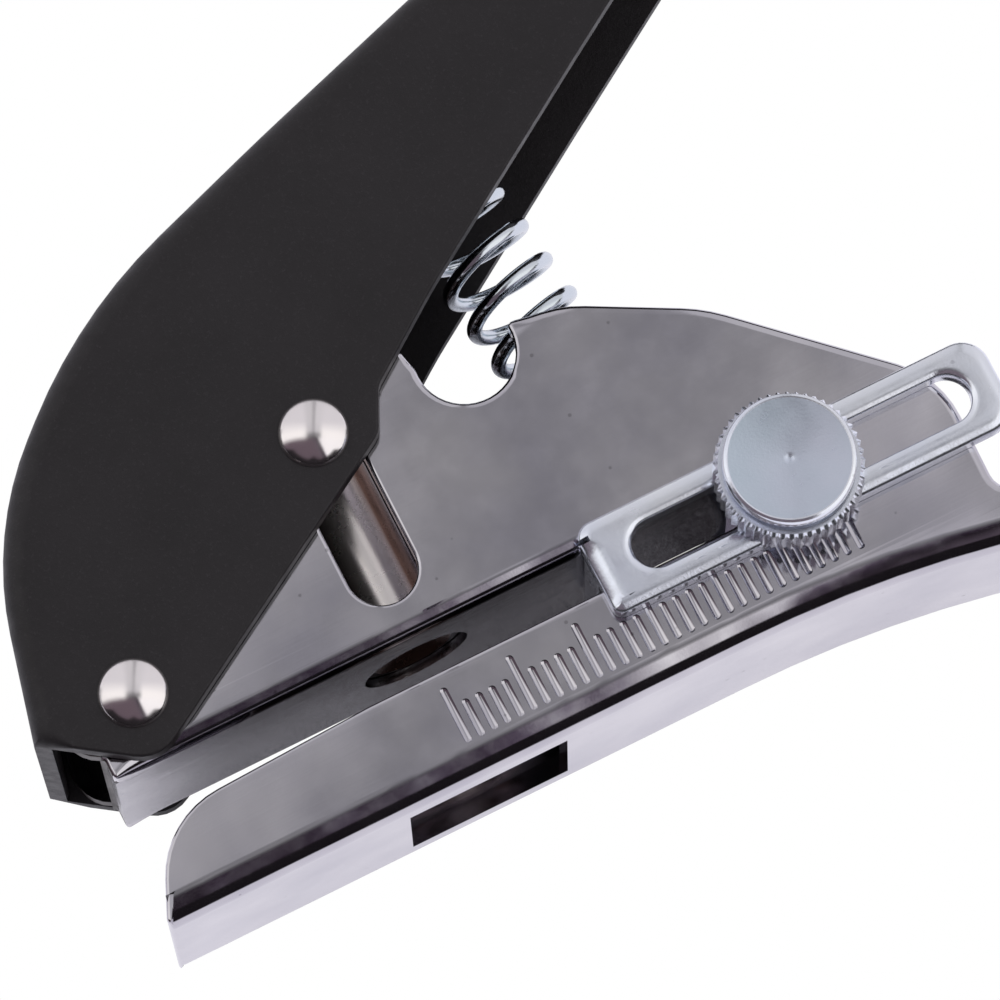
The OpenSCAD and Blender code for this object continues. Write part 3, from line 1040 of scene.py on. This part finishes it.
# Height of the edge of the dark: in the middle, its fall towards the sides, and its least
DARK_EDGE = 0.62
DARK_FALL = 0.60
DARK_LEAST = 0.12
STRIP_TINT = (1.0, 0.99, 1.03)
PANEL_TOP = (0.70, 0.69, 0.72)
PANEL_LOW = (1.0, 0.99, 0.98)
SOFT_LIGHT = (0.62, 0.62, 0.63)


def build_floor():
    """A white table. In reflections it is in shade under the tool, and ends in the dark a little
    way below it."""
    mesh = bpy.data.meshes.new("floor")
    size = 6.0
    mesh.from_pydata([(-size, -size, floor_z), (size, -size, floor_z), (size, size, floor_z),
                      (-size, size, floor_z)], [], [(0, 1, 2, 3)])
    material = bpy.data.materials.new("white_table")
    material.use_nodes = True
    nodes = Nodes(material.node_tree)
    rays = nodes.add("ShaderNodeLightPath")
    place = nodes.add("ShaderNodeSeparateXYZ", Vector=nodes.add("ShaderNodeTexCoord").outputs["Object"])
    near = nodes.remap(place.outputs["Y"], 0.0, 1.0, SHEET_END - SHEET_BLUR, SHEET_END + SHEET_BLUR)
    open_sky = nodes.add("ShaderNodeAmbientOcclusion", {"samples": 8}, Distance=SHADE_REACH)
    shade = nodes.remap(open_sky.outputs["AO"], 0.0, 1.0, *SHADE)
    mirrored = nodes.mix(nodes.math("MULTIPLY", near, shade), DARK, TABLE)
    plain = nodes.add("ShaderNodeBsdfDiffuse")
    plain.inputs["Color"].default_value = (0.86, 0.86, 0.87, 1)
    glow = nodes.add("ShaderNodeEmission")
    nodes.put(glow, "Color", nodes.mix(rays.outputs["Is Camera Ray"], mirrored, WHITE))
    seen = nodes.math("MAXIMUM", rays.outputs["Is Camera Ray"], rays.outputs["Is Glossy Ray"])
    seen = nodes.math("MAXIMUM", seen, rays.outputs["Is Transmission Ray"])
    mixed = nodes.add("ShaderNodeMixShader")
    nodes.put(mixed, "0", seen)
    nodes.put(mixed, "1", plain.outputs["BSDF"])
    nodes.put(mixed, "2", glow.outputs["Emission"])
    output = nodes.add("ShaderNodeOutputMaterial")
    nodes.put(output, "Surface", mixed.outputs["Shader"])
    floor = add_object("floor", mesh, material)


def build_world():
    """White to the camera and plain soft light on the object. Reflections see a grey ceiling strip
    that darkens downwards, a bright panel on each side, and a lower panel that is bright only at
    its right end. Below a certain height they see the dark."""
    world = bpy.data.worlds.new("studio")
    bpy.context.scene.world = world
    world.use_nodes = True
    nodes = Nodes(world.node_tree)
    rays = nodes.add("ShaderNodeLightPath")
    direction = nodes.add("ShaderNodeTexCoord").outputs["Generated"]
    height = nodes.add("ShaderNodeSeparateXYZ", Vector=direction).outputs["Z"]

    def along(vector):
        dot = nodes.add("ShaderNodeVectorMath", {"operation": "DOT_PRODUCT"})
        nodes.put(dot, "0", direction)
        nodes.put(dot, "1", vector)
        return dot.outputs["Value"]

    # across and down: along the picture's sides. upper and lower: above and below its middle
    across = along((CAMERA_RIGHT.x, CAMERA_RIGHT.y, 0))
    side = nodes.math("ABSOLUTE", across)
    down = along((-CAMERA_UP.x, -CAMERA_UP.y, 0))
    strip = nodes.ramp(nodes.remap(down, 0.0, 1.0, -1.0, 1.0), STRIP)
    spread = nodes.ramp(nodes.remap(across, 0.0, 1.0, *SPREAD_SPAN), SPREAD)
    grey = nodes.math("MULTIPLY", nodes.math("MULTIPLY", strip, spread), 2.0)
    tinted = nodes.mix(grey, (0.0, 0.0, 0.0), STRIP_TINT)
    panel = nodes.mix(nodes.remap(down, 0.0, 1.0, *SIDE_FADE), PANEL_TOP, PANEL_LOW)
    upper = nodes.mix(nodes.remap(side, 0.0, 1.0, *SIDE_PANELS), tinted, panel)
    beyond = nodes.math("SUBTRACT", across, nodes.math("MULTIPLY", down, LOWER_TILT))
    lower = nodes.ramp(nodes.remap(beyond, 0.0, 1.0, *LOWER_SPAN), LOWER_PANEL)
    above = nodes.mix(nodes.remap(down, 0.0, 1.0, *LOWER_FADE), upper, lower)
    # the edge of the dark rises towards the bottom of the picture and falls towards its top
    edge = nodes.math("SUBTRACT", DARK_EDGE, nodes.math("MULTIPLY", side, DARK_FALL))
    edge = nodes.math("MAXIMUM", edge, DARK_LEAST)
    edge = nodes.math("MAXIMUM", edge, nodes.remap(down, 0.0, 0.50, 0.25, 0.45))
    edge = nodes.math("SUBTRACT", edge, nodes.remap(down, 0.0, 0.80, -0.28, -0.42))
    lit = nodes.remap(nodes.math("SUBTRACT", height, edge), 0.0, 1.0, -0.04, 0.05)
    studio = nodes.mix(lit, DARK, above)
    plain = nodes.mix(rays.outputs["Is Glossy Ray"], SOFT_LIGHT, studio)
    shown = nodes.mix(rays.outputs["Is Camera Ray"], plain, WHITE)
    background = nodes.add("ShaderNodeBackground", Color=shown)
    output = nodes.add("ShaderNodeOutputWorld")
    nodes.put(output, "Surface", background.outputs["Background"])


build_floor()
build_world()
bpy.context.scene.view_settings.view_transform = "Standard"
